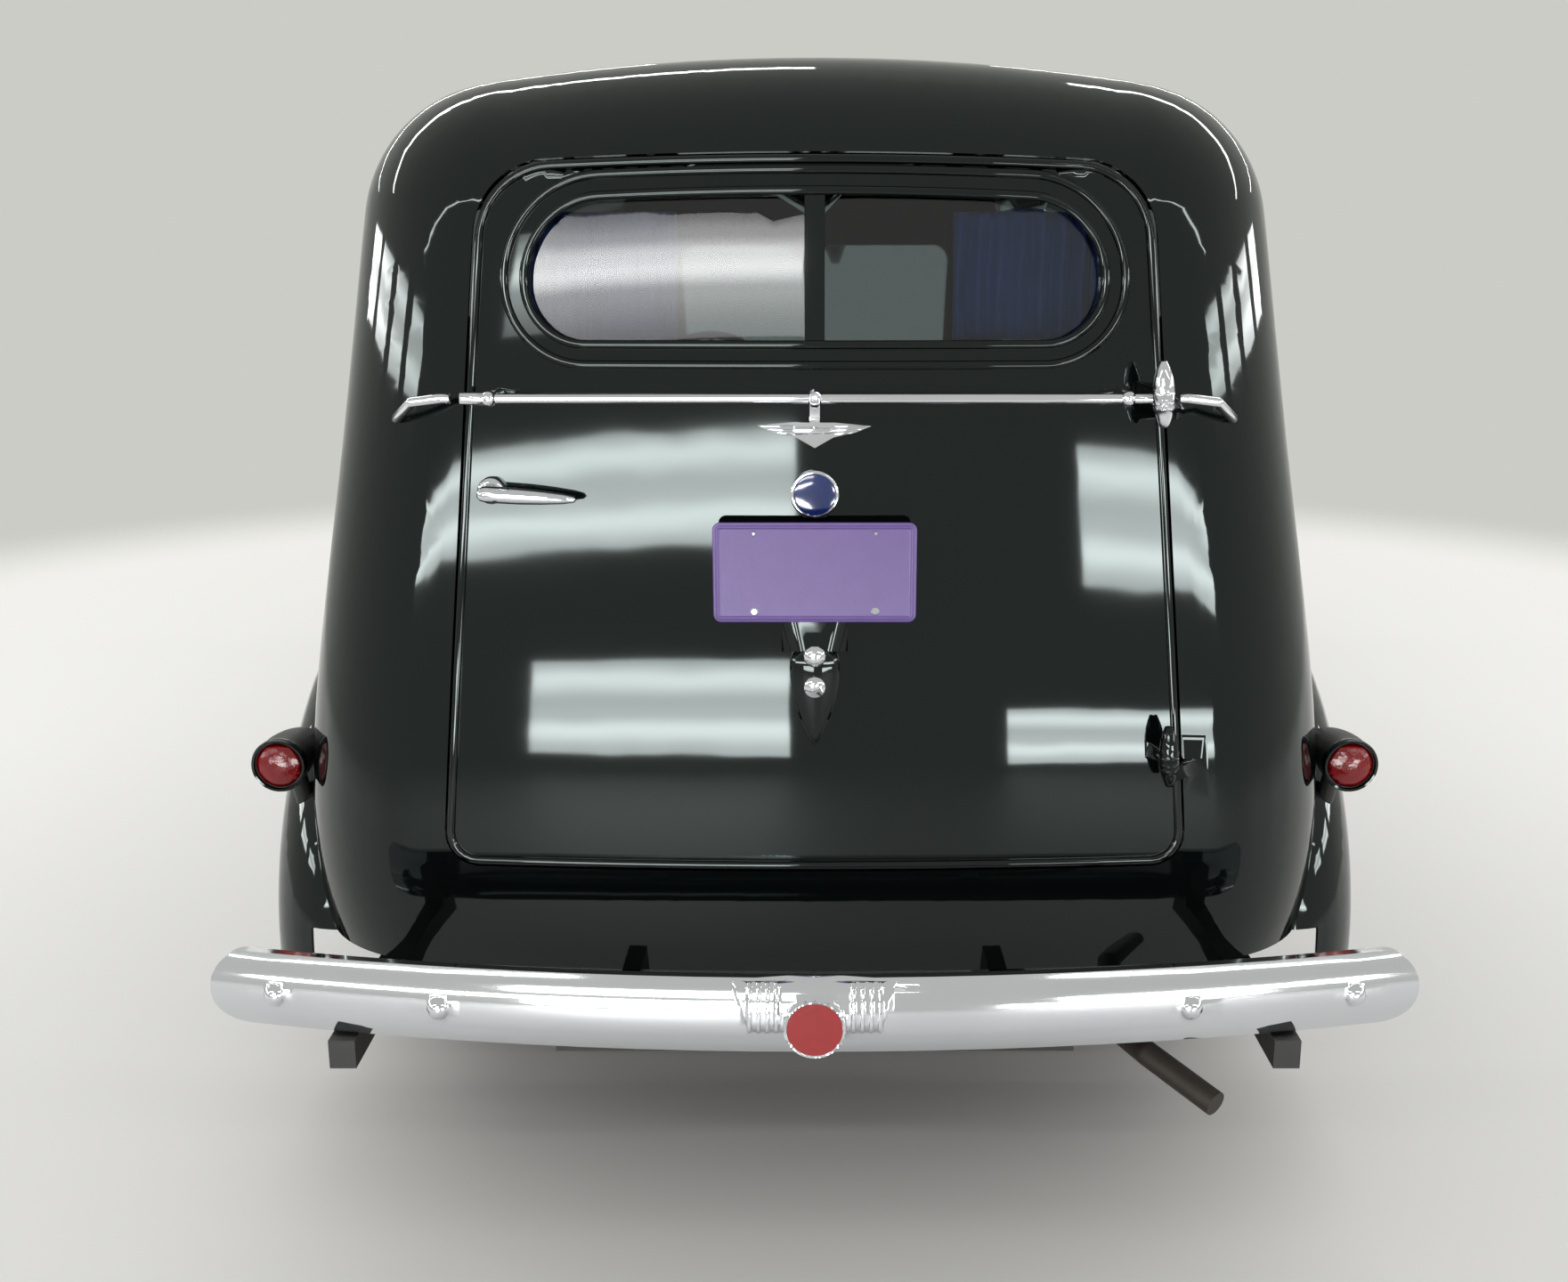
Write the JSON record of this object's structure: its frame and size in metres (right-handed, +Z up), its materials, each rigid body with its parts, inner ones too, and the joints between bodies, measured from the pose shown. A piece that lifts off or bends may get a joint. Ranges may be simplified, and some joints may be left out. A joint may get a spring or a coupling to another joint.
{
  "type": "hearse",
  "caption": "Late-1930s hearse: long windowed body, side-hinged rear door, split bonnet, wide fenders, bumpers, load deck, steered front wheels.",
  "frame": {"origin": "on the floor, under the middle of the car's box", "axes": "+Y forward, +Z up, +X to the car's right"},
  "size_m": [1.93, 5.774, 1.8997],
  "materials": {
    "gloss_black": "high gloss paint",
    "chassis_black": "satin paint",
    "chrome": "polished",
    "window_glass": "clear, dark inside",
    "lamp_glass": "clear",
    "red_glass": "red",
    "curtain": "pleated cloth",
    "engine_iron": "rough",
    "exhaust_steel": "dull",
    "rubber": "matt",
    "deck_wood": "varnished",
    "seat_leather": "satin",
    "cab_plastic": "satin",
    "plate_paint": "satin paint",
    "red_enamel": "gloss enamel",
    "wheel_paint": "gloss paint",
    "tyre": "matt"
  },
  "bodies": {
    "car": {"frame": "chassis_black", "cab_floor": "chassis_black", "load_deck": "deck_wood", "wheel_houses": "chassis_black", "roof": "gloss_black", "body_sides": "gloss_black", "cowl": "gloss_black", "tail_panel": "gloss_black", "fixed_glass": "window_glass", "side_curtains": "curtain", "bumpers": "chrome", "medallions": "red_enamel", "fuel_tank": "chassis_black", "engine": "engine_iron", "rear_axle": "chassis_black", "front_axle": "chassis_black", "springs": "chassis_black", "rear_fenders": "gloss_black", "front_fenders": "gloss_black", "running_boards": "rubber", "bonnet_sides": "gloss_black", "radiator_shell": "chrome", "grille": "chrome", "headlamps": "chrome", "headlamp_lenses": "lamp_glass", "tail_lamps": "chassis_black", "tail_lamp_lenses": "red_glass", "rail_ends": "chrome", "exhaust": "exhaust_steel", "front_seat": "seat_leather", "dashboard": "cab_plastic"},
    "rear_door": {"rear_door": "gloss_black", "rear_door_glass": "window_glass", "rear_door_curtains": "curtain", "rail_bar": "chrome", "door_handle": "chrome", "number_plate": "plate_paint", "plate_fittings": "gloss_black", "badge": "chrome"},
    "front_door_right": {"front_door_right": "gloss_black", "front_door_glass_right": "window_glass"},
    "front_door_left": {"front_door_left": "gloss_black", "front_door_glass_left": "window_glass"},
    "side_door_right": {"side_door_right": "gloss_black", "side_door_glass_right": "window_glass"},
    "side_door_left": {"side_door_left": "gloss_black", "side_door_glass_left": "window_glass"},
    "bonnet_right": {"bonnet_right": "gloss_black"},
    "bonnet_left": {"bonnet_left": "gloss_black"},
    "steering_wheel": {"steering_wheel": "cab_plastic"},
    "knuckle_right": {"knuckle_right": "chassis_black"},
    "knuckle_left": {"knuckle_left": "chassis_black"},
    "wheel_front_right": {"wheel_front_right": "wheel_paint", "tyre_front_right": "tyre"},
    "wheel_front_left": {"wheel_front_left": "wheel_paint", "tyre_front_left": "tyre"},
    "wheel_rear_right": {"wheel_rear_right": "wheel_paint", "tyre_rear_right": "tyre"},
    "wheel_rear_left": {"wheel_rear_left": "wheel_paint", "tyre_rear_left": "tyre"}
  },
  "joints": [
    {"name": "rear_door_hinge", "type": "hinge", "parent": "car", "child": "rear_door", "pos_m": [0.549, -2.632, 0.806], "axis": [-0.0663, 0, 0.9978], "range_deg": [0, 110]},
    {"name": "front_door_right_hinge", "type": "hinge", "parent": "car", "child": "front_door_right", "pos_m": [0.69196, 0.593, 0.64], "axis": [-0.0903, 0, 0.9959], "range_deg": [0, 65]},
    {"name": "front_door_left_hinge", "type": "hinge", "parent": "car", "child": "front_door_left", "pos_m": [-0.69196, 0.593, 0.64], "axis": [0.0903, 0, 0.9959], "range_deg": [-65, 0]},
    {"name": "side_door_right_hinge", "type": "hinge", "parent": "car", "child": "side_door_right", "pos_m": [0.87021, -0.978, 0.64], "axis": [-0.1184, 0, 0.993], "range_deg": [-65, 0]},
    {"name": "side_door_left_hinge", "type": "hinge", "parent": "car", "child": "side_door_left", "pos_m": [-0.87021, -0.978, 0.64], "axis": [0.1184, 0, 0.993], "range_deg": [0, 65]},
    {"name": "bonnet_right_hinge", "type": "hinge", "parent": "car", "child": "bonnet_right", "pos_m": [0, 0.8, 1.155], "axis": [0, 0.999, -0.045], "range_deg": [-55, 0]},
    {"name": "bonnet_left_hinge", "type": "hinge", "parent": "car", "child": "bonnet_left", "pos_m": [0, 0.8, 1.155], "axis": [0, 0.999, -0.045], "range_deg": [0, 55]},
    {"name": "steer_left", "type": "hinge", "parent": "car", "child": "knuckle_left", "pos_m": [-0.62, 2.05, 0.36], "axis": [0, 0, 1], "range_deg": [-30, 30]},
    {"name": "steer_right", "type": "hinge", "parent": "car", "child": "knuckle_right", "pos_m": [0.62, 2.05, 0.36], "axis": [0, 0, 1], "range_deg": [-30, 30]},
    {"name": "steering_wheel_turn", "type": "hinge", "parent": "car", "child": "steering_wheel", "pos_m": [-0.35, 0.47, 1.08], "axis": [0, -0.9588, 0.2841], "range_deg": [-360, 360]},
    {"name": "wheel_front_right_spin", "type": "hinge", "parent": "knuckle_right", "child": "wheel_front_right", "pos_m": [0.73, 2.05, 0.36], "axis": [1, 0, 0], "continuous": true},
    {"name": "wheel_front_left_spin", "type": "hinge", "parent": "knuckle_left", "child": "wheel_front_left", "pos_m": [-0.73, 2.05, 0.36], "axis": [1, 0, 0], "continuous": true},
    {"name": "wheel_rear_right_spin", "type": "hinge", "parent": "car", "child": "wheel_rear_right", "pos_m": [0.74, -1.45, 0.36], "axis": [1, 0, 0], "continuous": true},
    {"name": "wheel_rear_left_spin", "type": "hinge", "parent": "car", "child": "wheel_rear_left", "pos_m": [-0.74, -1.45, 0.36], "axis": [1, 0, 0], "continuous": true}
  ],
  "couplings": [
    {"joint": "steer_right", "follows": "steer_left", "ratio": 1},
    {"joint": "steering_wheel_turn", "follows": "steer_left", "ratio": 12}
  ]
}
